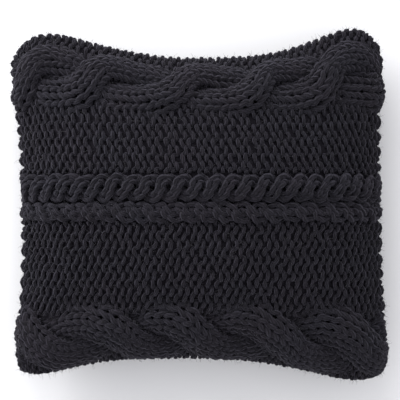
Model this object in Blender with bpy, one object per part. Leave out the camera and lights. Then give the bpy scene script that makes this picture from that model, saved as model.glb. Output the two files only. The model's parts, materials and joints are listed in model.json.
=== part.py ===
"""A square throw pillow: a chunky knitted cover with a zip in its back, a lining and a filled insert.

Metres, +Z up. The pillow lies on its back, so its cabled front panel faces up. The origin is the
centre of its outline on the surface that it lies on. The wales of the knitting run along X.

Every layer is the same cushion form drawn in by the layer's depth, on the same grid, so that the
facets of neighbouring layers stay parallel.
"""

import bpy
import bmesh
import numpy as np

# Outline, seen from above
MID_WIDTH = 0.412           # side to side, half way up
MID_HEIGHT = 0.343          # top edge to bottom edge, half way across
SIDE_EAR_RISE = 0.010       # how far the corners stand out past the sides
SIDE_EAR_ROUND = 0.0195     # how much of that the rounding of the corners takes back
TOP_EAR_RISE = 0.062
TOP_EAR_ROUND = 0.039
BOTTOM_EAR_RISE = 0.039
BOTTOM_EAR_ROUND = 0.024
EAR_RISE_POWER = 2
EAR_ROUND_POWER = 6
LEAN = 0.0037               # the top edge sits this far to the left, the bottom edge to the right

# Side view
SEAM_LEVEL = 0.050          # the seam's height over the resting face
FRONT_CROWN = 0.075         # the front's height over the seam
PROFILE_POWER = 0.6

# Raised bands of the front panel: lower and upper edge as shares of the half height, and rise
CABLE_RISE = 0.008
BRAID_RISE = 0.005
UPPER_CABLE = (0.60, 0.97)
CENTRE_BRAID = (-0.09, 0.25)
LOWER_CABLE = (-0.97, -0.52)
BAND_END_POWER = 8          # how late a band fades out towards the sides

# Layers, from the outside in
KNIT_THICKNESS = 0.008
CLOTH_THICKNESS = 0.0008
TAPE_THICKNESS = 0.0006
TOUCH_GAP = 0.0003          # between pieces that lie on each other
LAYER_GAP = 0.0004          # between cloth layers
RIM_GAP = 0.0016            # between cloth layers at the seam, where their corners are sharp
KNIT_SEAM_GAP = 0.0025      # half the room that each seam leaves for its yarn or thread
LINING_SEAM_GAP = 0.0008
CASING_SEAM_GAP = 0.00065
FILL_RIM = 0.0005

# Zip, in the flat of the back
ZIP_OFFSET = -0.0515        # from the middle of the outline, towards the bottom edge
ZIP_LENGTH = 0.240
SLIT_CLEARANCE = 0.0009     # from the stitching beside the slider to the edges of the slit
TAPE_WIDTH = 0.014
TAPE_TAIL = 0.008           # tape past each end of the coils
TAPE_PARTING = 0.0008       # from the zip's middle to the tape's edge
COIL_PARTING = 0.0005       # from the zip's middle to the coil
COIL_RADIUS = 0.00115
COIL_SIDES = 8
STOP_LENGTH = 0.0025
JOIN_CLEARANCE = 0.0012     # stop to the knitted join beyond it
STITCH_WIDTH = 0.0005
STITCH_THICKNESS = 0.0004
SLIDER_LENGTH = 0.012
SLIDER_PLATE = 0.0008       # the inner plate
SLIDER_BASE = 0.0011        # the outer plate, which carries the bridge
SLIDER_FLANGE = 0.001
SLIDER_CLEARANCE = 0.0004   # flange to coil
POST_LENGTH = 0.004
POST_WIDTH = 0.0005
END_CLEARANCE = 0.001       # slider to stop when the zip is closed
BRIDGE_LENGTH = 0.009
BRIDGE_LEG = 0.001
BRIDGE_WIDTH = 0.0018
BRIDGE_BAR = 0.0010
BRIDGE_ROOM = 0.0020        # height of the window that the pull tab swings in
TAB_THICKNESS = 0.001
TAB_LENGTH = 0.026
TAB_WIDTH = 0.0064
TAB_EYE_LENGTH = 0.0065
TAB_EYE_WALL = 0.0012
WELD_OVERLAP = 0.0001       # how far the slider's plates and legs run into each other

# Flat of the back, which holds the whole zip
FLAT_PAST_ENDS = 0.014      # past the tapes' ends
FLAT_PAST_EDGES = 0.002     # past the tapes' outer edges
FLAT_SPARE = 1.01

# Grid lines of the cushion form, as shares of the half width and half height
COLUMNS = (0.24, 0.48, 0.84, 0.93, 0.98, 1.0)
PLAIN_ROWS = (0.08, 0.42)
RING_SIDES = 6


def clear_scene():
    """Remove what a new file holds."""
    for thing in list(bpy.data.objects):
        bpy.data.objects.remove(thing, do_unlink=True)


def material(name, colour, roughness, metallic=0.0):
    """A Principled material."""
    made = bpy.data.materials.new(name)
    made.use_nodes = True
    shader = made.node_tree.nodes["Principled BSDF"]
    shader.inputs["Base Color"].default_value = (*colour, 1.0)
    shader.inputs["Roughness"].default_value = roughness
    shader.inputs["Metallic"].default_value = metallic
    return made


def add_object(name, vertices, faces, look, smooth_angle=None):
    """One named object from vertices and faces, its faces turned outwards."""
    mesh = bpy.data.meshes.new(name)
    mesh.from_pydata([tuple(point) for point in vertices], [], [tuple(face) for face in faces])
    work = bmesh.new()
    work.from_mesh(mesh)
    bmesh.ops.recalc_face_normals(work, faces=work.faces)
    if work.calc_volume(signed=True) < 0:
        bmesh.ops.reverse_faces(work, faces=work.faces)
    work.to_mesh(mesh)
    work.free()
    mesh.materials.append(look)
    if smooth_angle:
        mesh.shade_smooth()
        mesh.set_sharp_from_angle(angle=smooth_angle)
    made = bpy.data.objects.new(name, mesh)
    bpy.context.scene.collection.objects.link(made)
    return made


# ---------------------------------------------------------------- levels of the layers and the zip

LINING_FRONT_DEPTH = KNIT_THICKNESS + LAYER_GAP
TAPE_LOW = KNIT_THICKNESS + TOUCH_GAP
TAPE_HIGH = TAPE_LOW + TAPE_THICKNESS
LINING_BACK_DEPTH = TAPE_HIGH + TOUCH_GAP
CASING_STEP = CLOTH_THICKNESS + LAYER_GAP
CASING_FRONT_DEPTH = LINING_FRONT_DEPTH + CASING_STEP
CASING_BACK_DEPTH = LINING_BACK_DEPTH + max(CASING_STEP, SLIDER_PLATE + LAYER_GAP)
FILL_FRONT_DEPTH = CASING_FRONT_DEPTH + CASING_STEP
FILL_BACK_DEPTH = CASING_BACK_DEPTH + CASING_STEP

RIM_STEP = CLOTH_THICKNESS + RIM_GAP
LINING_INSET = LINING_BACK_DEPTH
CASING_INSET = LINING_INSET + RIM_STEP
FILL_INSET = CASING_INSET + RIM_STEP

COIL_TOP = TAPE_LOW - TOUCH_GAP
COIL_LEVEL = COIL_TOP - COIL_RADIUS
COIL_BOTTOM = COIL_LEVEL - COIL_RADIUS
COIL_OUTER = COIL_PARTING + 2 * COIL_RADIUS
BASE_TOP = COIL_BOTTOM - TOUCH_GAP
BASE_BOTTOM = BASE_TOP - SLIDER_BASE
PLATE_LOW = TAPE_HIGH + TOUCH_GAP
TAB_AXIS_LEVEL = BASE_BOTTOM - BRIDGE_ROOM / 2
JOIN_DEPTH = TAB_AXIS_LEVEL + TAB_THICKNESS / 2 + SLIDER_CLEARANCE    # the tab passes outside the joins

FLANGE_INNER = COIL_OUTER + SLIDER_CLEARANCE
SLIDER_HALF_WIDTH = FLANGE_INNER + SLIDER_FLANGE
SLIDER_X = ZIP_LENGTH / 2 - END_CLEARANCE - SLIDER_LENGTH / 2
STITCH_INNER = SLIDER_HALF_WIDTH + SLIDER_CLEARANCE
SLIT_HALF = STITCH_INNER + STITCH_WIDTH + SLIT_CLEARANCE


# ---------------------------------------------------------------- the cushion form

def ear(share, rise, rounding):
    """Extra half size along an edge: it rises towards the corner, which then rounds it off."""
    return rise * np.abs(share) ** EAR_RISE_POWER - rounding * np.abs(share) ** EAR_ROUND_POWER


def plan(u, v):
    """Outline position of the form's point (u, v), each from -1 to 1, before the origin is set."""
    side = ear(v, SIDE_EAR_RISE, SIDE_EAR_ROUND)
    end = np.where(v > 0, ear(u, TOP_EAR_RISE, TOP_EAR_ROUND), ear(u, BOTTOM_EAR_RISE, BOTTOM_EAR_ROUND))
    x = u * (MID_WIDTH / 2 + side * u ** 2)
    y = v * (MID_HEIGHT / 2 + end * v ** 2)
    return x - LEAN * v, y


def outline_centre():
    """Middle of the outline's box, which becomes the origin."""
    line = np.linspace(-1, 1, 401)
    edge = np.ones_like(line)
    x = np.concatenate([plan(sign * edge, line)[0] for sign in (-1, 1)])
    y = np.concatenate([plan(line, sign * edge)[1] for sign in (-1, 1)])
    return (x.min() + x.max()) / 2, (y.min() + y.max()) / 2


CENTRE_X, CENTRE_Y = outline_centre()
ZIP_Y = ZIP_OFFSET - CENTRE_Y


def place(u, v, inset):
    """Position of (u, v) on the form drawn in by inset, with the origin at the outline's centre.

    The form draws in towards the zip's line, so that the slit's edges stay upright.
    """
    x, y = plan(u, v)
    x = x * (1 - 2 * inset / MID_WIDTH)
    reach = MID_HEIGHT / 2 - np.sign(y - ZIP_OFFSET) * ZIP_OFFSET
    y = ZIP_OFFSET + (y - ZIP_OFFSET) * (1 - inset / reach)
    return x - CENTRE_X, y - CENTRE_Y


def profile(u, v):
    """Rise of the cushion at (u, v): 1 in the middle, 0 all round the seam."""
    return ((1 - u ** 2) * (1 - v ** 2)).clip(0) ** PROFILE_POWER


def band_rise(u, v):
    """How far the cables and the braid stand up from the front."""
    total = np.zeros_like(u)
    bands = (UPPER_CABLE, CABLE_RISE), (CENTRE_BRAID, BRAID_RISE), (LOWER_CABLE, CABLE_RISE)
    for (low, high), rise in bands:
        across = ((v - low) / (high - low)).clip(0, 1)
        total += rise * np.sin(np.pi * across)
    return total * (1 - np.abs(u) ** BAND_END_POWER)


def front_height(u, v, depth, seam_gap, rise=0.0):
    """Height of the front at a depth under its outer face."""
    return SEAM_LEVEL + seam_gap + (FRONT_CROWN - seam_gap - depth) * profile(u, v) + rise


def back_height(u, v, depth, seam_gap):
    """Height of the back at a depth over the resting face, flat where the pillow lies on it."""
    share = np.minimum(1, BACK_FULLNESS * profile(u, v))
    return SEAM_LEVEL - seam_gap - (SEAM_LEVEL - seam_gap - depth) * share


def zip_share(y_from_zip):
    """The form's v at a distance from the zip's line."""
    return 2 * (ZIP_OFFSET + y_from_zip) / MID_HEIGHT


def zip_line_share(x, inset):
    """The form's u at which a sheet drawn in by inset passes x on the zip's line."""
    return 2 * (x + CENTRE_X + LEAN * zip_share(0.0)) / (MID_WIDTH - 2 * inset)


# Where the flat of the back ends, and how much rounder than flat the back would be without it
FLAT_COLUMN = 2 * (ZIP_LENGTH / 2 + TAPE_TAIL + FLAT_PAST_ENDS) / MID_WIDTH
FLAT_ROW = zip_share(-TAPE_PARTING - TAPE_WIDTH - FLAT_PAST_EDGES)
BACK_FULLNESS = FLAT_SPARE / profile(np.array(FLAT_COLUMN), np.array(FLAT_ROW))


def rows():
    """All grid lines along v, with the edges and the middles of the bands and of the slit among them."""
    lines = {-1.0, 1.0, zip_share(-SLIT_HALF), zip_share(SLIT_HALF), FLAT_ROW, *PLAIN_ROWS}
    for low, high in (UPPER_CABLE, LOWER_CABLE):
        lines.update(float(line) for line in np.linspace(low, high, 5))
    lines.update(CENTRE_BRAID)
    return np.array(sorted(lines))


POSITIVE_COLUMNS = (*COLUMNS, FLAT_COLUMN)
COLUMN_LINES = np.array(sorted({0.0, *POSITIVE_COLUMNS, *(-line for line in POSITIVE_COLUMNS)}))
ROW_LINES = rows()
SLIT_LOW = zip_share(-SLIT_HALF)
SLIT_HIGH = zip_share(SLIT_HALF)


def sheet_points(height, inset, columns, lines):
    """Grid points of one sheet, row by row."""
    u, v = np.meshgrid(columns, lines)
    x, y = place(u, v, inset)
    return np.stack([x, y, height(u, v)], axis=-1).reshape(-1, 3)


def sheet_faces(across, along, first):
    """Two triangles for each cell of a grid, always cut along the same diagonal."""
    faces = []
    for row in range(along - 1):
        for column in range(across - 1):
            corner = first + row * across + column
            faces.append((corner, corner + 1, corner + across + 1))
            faces.append((corner, corner + across + 1, corner + across))
    return faces


def rim_loop(across, along):
    """Indices of a grid's edge, once round."""
    bottom = list(range(across))
    right = [row * across + across - 1 for row in range(1, along)]
    top = [(along - 1) * across + column for column in range(across - 2, -1, -1)]
    left = [row * across for row in range(along - 2, 0, -1)]
    return bottom + right + top + left


def shell(name, outer, inner, look, columns=COLUMN_LINES, lines=ROW_LINES):
    """A closed sheet with thickness between two surfaces, each given as (height, inset)."""
    across, along = len(columns), len(lines)
    count = across * along
    points = np.concatenate([sheet_points(*outer, columns, lines), sheet_points(*inner, columns, lines)])
    faces = sheet_faces(across, along, 0)
    faces += [face[::-1] for face in sheet_faces(across, along, count)]
    loop = rim_loop(across, along)
    for here, there in zip(loop, loop[1:] + loop[:1]):
        faces.append((here, count + here, count + there))
        faces.append((here, count + there, there))
    return add_object(name, points, faces, look)


def front_sheet(depth, inset, seam_gap, banded=False):
    """(height, inset) of a front surface."""
    def height(u, v):
        return front_height(u, v, depth, seam_gap, band_rise(u, v) if banded else 0.0)
    return height, inset


def back_sheet(depth, inset, seam_gap):
    """(height, inset) of a back surface."""
    def height(u, v):
        return back_height(u, v, depth, seam_gap)
    return height, inset


def seam_ring(name, inset, radius, look):
    """The yarn or thread that joins front and back: a round cord along the whole seam."""
    u, v = np.meshgrid(COLUMN_LINES, ROW_LINES)
    x, y = place(u, v, inset)
    loop = rim_loop(len(COLUMN_LINES), len(ROW_LINES))
    path = np.stack([x, y], axis=-1).reshape(-1, 2)[loop]
    along = np.roll(path, -1, axis=0) - np.roll(path, 1, axis=0)
    along /= np.linalg.norm(along, axis=1, keepdims=True)
    out = np.stack([along[:, 1], -along[:, 0]], axis=-1)
    turn = np.arange(RING_SIDES) * 2 * np.pi / RING_SIDES
    points = np.zeros((len(path), RING_SIDES, 3))
    points[:, :, :2] = path[:, None] + out[:, None] * (radius * np.cos(turn))[None, :, None]
    points[:, :, 2] = SEAM_LEVEL + radius * np.sin(turn)
    faces = []
    for here in range(len(path)):
        there = (here + 1) % len(path)
        for side in range(RING_SIDES):
            beside = (side + 1) % RING_SIDES
            faces.append((here * RING_SIDES + side, there * RING_SIDES + side,
                          there * RING_SIDES + beside, here * RING_SIDES + beside))
    return add_object(name, points.reshape(-1, 3), faces, look, smooth_angle=np.radians(70))


def build_cover(yarn):
    """The knitted front, the two knitted backs, the joins beyond the zip's ends and the seam yarn."""
    shell("front_knit_panel",
          front_sheet(0.0, 0.0, KNIT_SEAM_GAP, banded=True),
          front_sheet(KNIT_THICKNESS, KNIT_THICKNESS, KNIT_SEAM_GAP), yarn)
    outer = back_sheet(0.0, 0.0, KNIT_SEAM_GAP)
    inner = back_sheet(KNIT_THICKNESS, KNIT_THICKNESS, KNIT_SEAM_GAP)
    shell("back_knit_upper", outer, inner, yarn, lines=ROW_LINES[ROW_LINES >= SLIT_HIGH])
    shell("back_knit_lower", outer, inner, yarn, lines=ROW_LINES[ROW_LINES <= SLIT_LOW])
    side_gap = zip_share(TOUCH_GAP) - zip_share(0.0)
    join_lines = np.array([SLIT_LOW + side_gap, SLIT_HIGH - side_gap])
    reach = ZIP_LENGTH / 2 + STOP_LENGTH + JOIN_CLEARANCE
    first = zip_line_share(reach, KNIT_THICKNESS)
    last = zip_line_share(-reach, KNIT_THICKNESS)
    right_columns = np.concatenate([[first], COLUMN_LINES[COLUMN_LINES > first]])
    left_columns = np.concatenate([COLUMN_LINES[COLUMN_LINES < last], [last]])
    recessed = back_sheet(JOIN_DEPTH, JOIN_DEPTH, KNIT_SEAM_GAP)
    shell("back_join_right", recessed, inner, yarn, columns=right_columns, lines=join_lines)
    shell("back_join_left", recessed, inner, yarn, columns=left_columns, lines=join_lines)
    seam_ring("seam_yarn", KNIT_THICKNESS / 2, KNIT_SEAM_GAP - TOUCH_GAP, yarn)


def build_lining(cloth, thread):
    """The woven lining behind the knit, open at the zip, and its seam thread."""
    thick = CLOTH_THICKNESS
    shell("lining_front",
          front_sheet(LINING_FRONT_DEPTH, LINING_INSET, LINING_SEAM_GAP),
          front_sheet(LINING_FRONT_DEPTH + thick, LINING_INSET + thick, LINING_SEAM_GAP), cloth)
    outer = back_sheet(LINING_BACK_DEPTH, LINING_INSET, LINING_SEAM_GAP)
    inner = back_sheet(LINING_BACK_DEPTH + thick, LINING_INSET + thick, LINING_SEAM_GAP)
    shell("lining_back_upper", outer, inner, cloth, lines=ROW_LINES[ROW_LINES >= SLIT_HIGH])
    shell("lining_back_lower", outer, inner, cloth, lines=ROW_LINES[ROW_LINES <= SLIT_LOW])
    seam_ring("lining_seam_thread", LINING_INSET + thick / 2, LINING_SEAM_GAP - TOUCH_GAP, thread)


def build_insert(cloth, fibre, thread):
    """The insert: a casing of two cloths, its seam thread and the loose fibre in it."""
    thick = CLOTH_THICKNESS
    shell("insert_casing_front",
          front_sheet(CASING_FRONT_DEPTH, CASING_INSET, CASING_SEAM_GAP),
          front_sheet(CASING_FRONT_DEPTH + thick, CASING_INSET + thick, CASING_SEAM_GAP), cloth)
    shell("insert_casing_back",
          back_sheet(CASING_BACK_DEPTH, CASING_INSET, CASING_SEAM_GAP),
          back_sheet(CASING_BACK_DEPTH + thick, CASING_INSET + thick, CASING_SEAM_GAP), cloth)
    seam_ring("insert_seam_thread", CASING_INSET + thick / 2, CASING_SEAM_GAP - TOUCH_GAP, thread)
    shell("fibre_fill",
          front_sheet(FILL_FRONT_DEPTH, FILL_INSET, FILL_RIM),
          back_sheet(FILL_BACK_DEPTH, FILL_INSET, FILL_RIM), fibre)


# ---------------------------------------------------------------- zip

def box(name, low, high, look):
    """A box between two corners."""
    corners = [(x, y, z) for z in (low[2], high[2]) for y in (low[1], high[1]) for x in (low[0], high[0])]
    faces = [(0, 2, 3, 1), (4, 5, 7, 6), (0, 1, 5, 4), (2, 6, 7, 3), (0, 4, 6, 2), (1, 3, 7, 5)]
    return add_object(name, corners, faces, look)


def combine(target, tool, operation):
    """Join a hidden box to the target, or cut it out, with a Boolean modifier."""
    tool.hide_render = True
    tool.display_type = "WIRE"
    tool.parent = target
    step = target.modifiers.new(tool.name, "BOOLEAN")
    step.operation = operation
    step.solver = "EXACT"
    step.object = tool


def build_tapes(cloth, coil, metal, thread):
    """Both zip tapes with their coils, stops and stitching; the coils lie on the tapes' outer faces."""
    tape_end = ZIP_LENGTH / 2 + TAPE_TAIL
    coil_end = ZIP_LENGTH / 2
    for side, word in ((1, "upper"), (-1, "lower")):
        edges = sorted((ZIP_Y + side * TAPE_PARTING, ZIP_Y + side * (TAPE_PARTING + TAPE_WIDTH)))
        box(f"zip_tape_{word}", (-tape_end, edges[0], TAPE_LOW), (tape_end, edges[1], TAPE_HIGH), cloth)
        row = sorted((ZIP_Y + side * STITCH_INNER, ZIP_Y + side * (STITCH_INNER + STITCH_WIDTH)))
        low = TAPE_HIGH + TOUCH_GAP
        box(f"zip_stitch_{word}", (-coil_end, row[0], low),
            (coil_end, row[1], low + STITCH_THICKNESS), thread)
        stop = sorted((ZIP_Y + side * COIL_PARTING, ZIP_Y + side * COIL_OUTER))
        start = coil_end + TOUCH_GAP
        box(f"zip_top_stop_{word}", (start, stop[0], COIL_BOTTOM),
            (start + STOP_LENGTH, stop[1], COIL_TOP), metal)
        build_coil(f"zip_coil_{word}", ZIP_Y + side * (COIL_PARTING + COIL_RADIUS), coil_end, coil)
    end = -coil_end - TOUCH_GAP
    box("zip_bottom_stop", (end - STOP_LENGTH, ZIP_Y - COIL_OUTER, COIL_BOTTOM),
        (end, ZIP_Y + COIL_OUTER, COIL_TOP), metal)


def build_coil(name, y, half_length, look):
    """The outer shape of one row of coil teeth: a round bar along X."""
    work = bmesh.new()
    bmesh.ops.create_cone(work, cap_ends=True, segments=COIL_SIDES, radius1=COIL_RADIUS,
                          radius2=COIL_RADIUS, depth=2 * half_length)
    mesh = bpy.data.meshes.new(name)
    work.to_mesh(mesh)
    work.free()
    mesh.materials.append(look)
    mesh.shade_smooth()
    mesh.set_sharp_from_angle(angle=np.radians(60))
    made = bpy.data.objects.new(name, mesh)
    made.location = (0, y, COIL_LEVEL)
    made.rotation_euler = (0, np.pi / 2, 0)
    bpy.context.scene.collection.objects.link(made)


def build_slider(metal):
    """Slider body: an inner plate, a post between the tapes, an outer plate with flanges, and the bridge."""
    half = SLIDER_LENGTH / 2
    weld = WELD_OVERLAP
    body = box("zip_slider_body", (-half, -SLIDER_HALF_WIDTH, BASE_BOTTOM),
               (half, SLIDER_HALF_WIDTH, BASE_TOP), metal)
    plate = box("slider_plate", (-half, -SLIDER_HALF_WIDTH, PLATE_LOW),
                (half, SLIDER_HALF_WIDTH, PLATE_LOW + SLIDER_PLATE), metal)
    post = box("slider_post", (half - POST_LENGTH, -POST_WIDTH / 2, BASE_TOP - weld),
               (half - 2 * weld, POST_WIDTH / 2, PLATE_LOW + weld), metal)
    parts = [post, plate]
    bar_top = BASE_BOTTOM - BRIDGE_ROOM
    for side in (-1, 1):
        edges = sorted((side * FLANGE_INNER, side * (SLIDER_HALF_WIDTH - weld)))
        parts.append(box(f"slider_flange_{side}", (-half + weld, edges[0], BASE_TOP - weld),
                         (half - weld, edges[1], COIL_TOP), metal))
        ends = sorted((side * BRIDGE_LENGTH / 2, side * (BRIDGE_LENGTH / 2 - BRIDGE_LEG)))
        parts.append(box(f"slider_leg_{side}",
                         (ends[0], -BRIDGE_WIDTH / 2, bar_top - weld),
                         (ends[1], BRIDGE_WIDTH / 2, BASE_BOTTOM + weld), metal))
    bar_x = BRIDGE_LENGTH / 2 + weld
    bar_y = BRIDGE_WIDTH / 2 + weld
    parts.append(box("slider_bar", (-bar_x, -bar_y, bar_top - BRIDGE_BAR), (bar_x, bar_y, bar_top), metal))
    for part in parts:
        combine(body, part, "UNION")
    body.location = (SLIDER_X, ZIP_Y, 0)


def build_pull_tab(metal):
    """Pull tab: a flat strip whose eye swings on the slider's bridge; its origin is on that axis."""
    half_thick = TAB_THICKNESS / 2
    tab = box("zip_pull_tab", (-TAB_LENGTH, -TAB_WIDTH / 2, -half_thick),
              (half_thick, TAB_WIDTH / 2, half_thick), metal)
    eye = box("tab_eye", (-half_thick - TAB_EYE_LENGTH, -TAB_WIDTH / 2 + TAB_EYE_WALL, -TAB_THICKNESS),
              (-half_thick, TAB_WIDTH / 2 - TAB_EYE_WALL, TAB_THICKNESS), metal)
    combine(tab, eye, "DIFFERENCE")
    tab.location = (SLIDER_X, ZIP_Y, TAB_AXIS_LEVEL)


def main():
    """Build every piece."""
    clear_scene()
    yarn = material("charcoal_yarn", (0.018, 0.017, 0.021), 0.92)
    lining = material("dark_lining", (0.02, 0.02, 0.024), 0.85)
    casing = material("white_casing", (0.75, 0.75, 0.73), 0.9)
    fibre = material("white_fibre", (0.85, 0.85, 0.84), 1.0)
    thread = material("black_thread", (0.012, 0.012, 0.014), 0.7)
    tape = material("black_tape", (0.013, 0.013, 0.015), 0.8)
    coil = material("black_coil", (0.012, 0.012, 0.013), 0.35)
    metal = material("gunmetal", (0.11, 0.11, 0.12), 0.35, 1.0)
    build_cover(yarn)
    build_lining(lining, thread)
    build_insert(casing, fibre, thread)
    build_tapes(tape, coil, metal, thread)
    build_slider(metal)
    build_pull_tab(metal)


main()
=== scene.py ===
"""Looks of a cable-knit throw pillow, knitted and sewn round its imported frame.

The knitting is real yarn: every course is one tube that loops its way across a band of stitches, and
the bands are laid on the cushion's surface. Metres, +Z up; the pillow lies on its back, the wales of
the knitting run along X.
"""

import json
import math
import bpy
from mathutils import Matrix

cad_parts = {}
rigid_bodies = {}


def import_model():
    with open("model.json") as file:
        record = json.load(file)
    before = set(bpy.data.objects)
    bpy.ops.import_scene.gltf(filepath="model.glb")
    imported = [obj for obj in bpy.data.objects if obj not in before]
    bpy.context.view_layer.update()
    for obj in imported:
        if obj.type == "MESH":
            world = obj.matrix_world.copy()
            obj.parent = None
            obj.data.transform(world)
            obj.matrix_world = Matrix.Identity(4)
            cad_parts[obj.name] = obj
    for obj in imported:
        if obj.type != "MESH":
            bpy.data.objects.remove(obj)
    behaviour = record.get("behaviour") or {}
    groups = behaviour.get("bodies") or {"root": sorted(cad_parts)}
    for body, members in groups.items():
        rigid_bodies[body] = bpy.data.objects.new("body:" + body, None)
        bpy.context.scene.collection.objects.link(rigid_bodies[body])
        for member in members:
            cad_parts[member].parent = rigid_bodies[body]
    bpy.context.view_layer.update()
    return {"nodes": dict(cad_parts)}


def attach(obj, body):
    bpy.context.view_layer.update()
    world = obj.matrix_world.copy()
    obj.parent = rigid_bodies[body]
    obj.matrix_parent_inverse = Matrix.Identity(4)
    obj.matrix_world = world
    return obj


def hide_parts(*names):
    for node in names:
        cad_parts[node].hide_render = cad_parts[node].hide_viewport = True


bl_info = {
    "name": "Cable-Knit Pillow",
    "version": (1, 0, 0),
    "blender": (4, 5, 0),
    "location": "3D View > Sidebar > Pillow",
    "description": "Knits, sews and fills a chunky cable-knit pillow",
    "category": "Object",
}

import bpy
import numpy as np
from bpy.props import FloatProperty, FloatVectorProperty, IntProperty, PointerProperty
from bpy.types import Operator, Panel, PropertyGroup
from mathutils import Vector

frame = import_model()
COVER = "pillow"
TWO_PI = 2 * math.pi


def metres(name, description, default):
    """A length property."""
    return FloatProperty(name=name, description=description, default=default, unit="LENGTH", precision=5)


def colour(name, description, default):
    """A linear colour property."""
    return FloatVectorProperty(name=name, description=description, default=default, subtype="COLOR",
                               size=3, min=0, max=1)


def shape(name, description, default):
    """Rise, power and rounding of an edge towards a corner."""
    return FloatVectorProperty(name=name, description=description, default=default, size=3, precision=5)


class CushionSizes(PropertyGroup):
    """The cushion's outline and fullness. An ear is a rise, the power it grows with, and a rounding."""
    half_width: metres("Half width", "Middle to side, half way up", 0.2030)
    top_half: metres("Top half", "Middle to top edge, half way across", 0.1705)
    bottom_half: metres("Bottom half", "Middle to bottom edge, half way across", 0.1685)
    centre_rise: metres("Centre", "Height of the outline's centre over the form's middle", 0.0054766)
    side_ear: shape("Side ears", "How the sides stand out towards the corners", (0.020, 4.0, 0.0165))
    top_left: shape("Top left ear", "How the top edge rises to the left", (0.0528, 2.0, 0.0480))
    top_right: shape("Top right ear", "How the top edge rises to the right", (0.0740, 3.0, 0.0560))
    bottom_left: shape("Bottom left ear", "How the bottom edge drops to the left", (0.0449, 4.0, 0.0290))
    bottom_right: shape("Bottom right ear", "How the bottom edge drops to the right", (0.0427, 2.0, 0.0245))
    lean: shape("Lean", "Sideways shift of the middle, with the height, and with its square",
                (0.0014, -0.0032, -0.0029))
    seam_level: metres("Seam level", "The seam's height over the resting face", 0.050)
    crown: metres("Crown", "The front's height over the seam", 0.075)
    back_fullness: FloatProperty(name="Back fullness", description="Roundness of the back over its flat",
                                 default=1.70)
    knit_middle: metres("Knit middle", "Depth of the middle of the knitted fabric", 0.004)
    swell_most: metres("Swell", "Most that the filling may push the cover out", 0.005)


class KnitSizes(PropertyGroup):
    """Gauge, yarn and bands, the bands as distances along the cover from its middle, up the front."""
    course: metres("Course", "Spacing of the courses along X", 0.0088)
    wale: metres("Wale", "Width of a purl stitch along Y", 0.0166)
    radius: metres("Yarn radius", "Radius of the yarn", 0.0023)
    back_radius: metres("Back yarn radius", "Radius of the yarn in the back", 0.0021)
    samples: IntProperty(name="Samples", description="Points along each stitch", default=16)
    sides: IntProperty(name="Sides", description="Sides of the yarn's tube", default=8)
    fibres: IntProperty(name="Fibres", description="Loose fibres that stand out of the yarn", default=9300)
    fibre_radius: metres("Fibre radius", "Radius of a loose fibre at its root", 0.00020)
    rope_middle: metres("Rope middle", "Middle of the small rope", 0.0228)
    rope_pitch: metres("Rope pitch", "From one crossing of the small rope to the next", 0.0180)
    twist_middle: metres("Twist middle", "Middle of the fine twist under the small rope", -0.0032)
    upper_cable: metres("Upper cable", "Middle of the upper cable", 0.1395)
    lower_cable: metres("Lower cable", "Middle of the lower cable", -0.1465)
    cable_wale: metres("Cable wale", "Width of a stitch in the cables", 0.0124)
    cable_swing: metres("Cable swing", "How far a strand swings either side of the cable's middle", 0.0182)
    cable_lift: metres("Cable lift", "How far a strand stands up where it passes over the other", 0.0084)


class ZipSizes(PropertyGroup):
    """The zip's place in the back."""
    line: metres("Zip line", "Where the zip runs, along Y", -0.056977)
    slit: metres("Slit", "Half the width of the slit in the back", 0.006)
    length: metres("Zip length", "Length of the zip's row of teeth", 0.240)
    tooth_pitch: metres("Tooth pitch", "From one turn of the coil to the next", 0.0016)


class StageSizes(PropertyGroup):
    """Camera and lights."""
    height: metres("Camera height", "Height of the camera over the floor", 2.1)
    lens: FloatProperty(name="Lens", description="Focal length in millimetres", default=163.0)


class FinishColours(PropertyGroup):
    """Colours of the yarn, the cloths and the zip."""
    yarn: colour("Yarn", "Charcoal yarn", (0.0034, 0.0029, 0.0043))
    yarn_light: colour("Yarn light", "The lighter fibres in the yarn", (0.0176, 0.0157, 0.0214))
    fibre: colour("Loose fibre", "Loose fibres that stand out of the yarn", (0.046, 0.043, 0.054))
    lining: colour("Lining", "Lining cloth", (0.010, 0.009, 0.012))
    casing: colour("Casing", "Cloth of the insert", (0.78, 0.77, 0.74))
    thread: colour("Thread", "Sewing thread", (0.010, 0.010, 0.012))
    tape: colour("Zip tape", "Woven tape of the zip", (0.014, 0.013, 0.016))
    coil: colour("Zip coil", "Nylon coil of the zip", (0.020, 0.020, 0.022))
    metal: colour("Zip metal", "Slider, tab and stops", (0.16, 0.155, 0.15))
    floor: colour("Floor", "Floor of the studio", (0.82, 0.82, 0.83))


PROPERTY_GROUPS = {"pillow_cushion": CushionSizes, "pillow_knit": KnitSizes, "pillow_zip": ZipSizes,
                   "pillow_stage": StageSizes, "pillow_colours": FinishColours}
SWELL = {}                                # the filling's push on the front, once the insert is made

# Depths below the cover's outside, and how far each layer lies in from the rim.
CASING_FRONT, CASING_BACK, CASING_INSET = 0.0096, 0.0104, 0.0136
LINING_FRONT, LINING_BACK, LINING_INSET = 0.0088, 0.0096, 0.0092
LINING_THICK = 0.0006
BACKING_UNDER, BACKING_THICK = 0.0012, 0.0010
RIM_GAP = 0.001                           # from the last stitches to the rim
SIDE_GAP = 0.003                          # from the last courses to the cover's sides

# The front's bands along Y, as distances along the fabric, and the cables' crossings, as shares of u.
UPPER_GROUND = (0.039, 0.122)
LOWER_GROUND = (-0.116, -0.013)
TOP_EDGE, BOTTOM_EDGE = 0.158, -0.150
UPPER_CROSSINGS = (-0.92, -0.583, -0.09, 0.342, 0.713)
LOWER_CROSSINGS = (-0.886, -0.41, -0.005, 0.467, 0.88)


# ---------------------------------------------------------------- meshes

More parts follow.
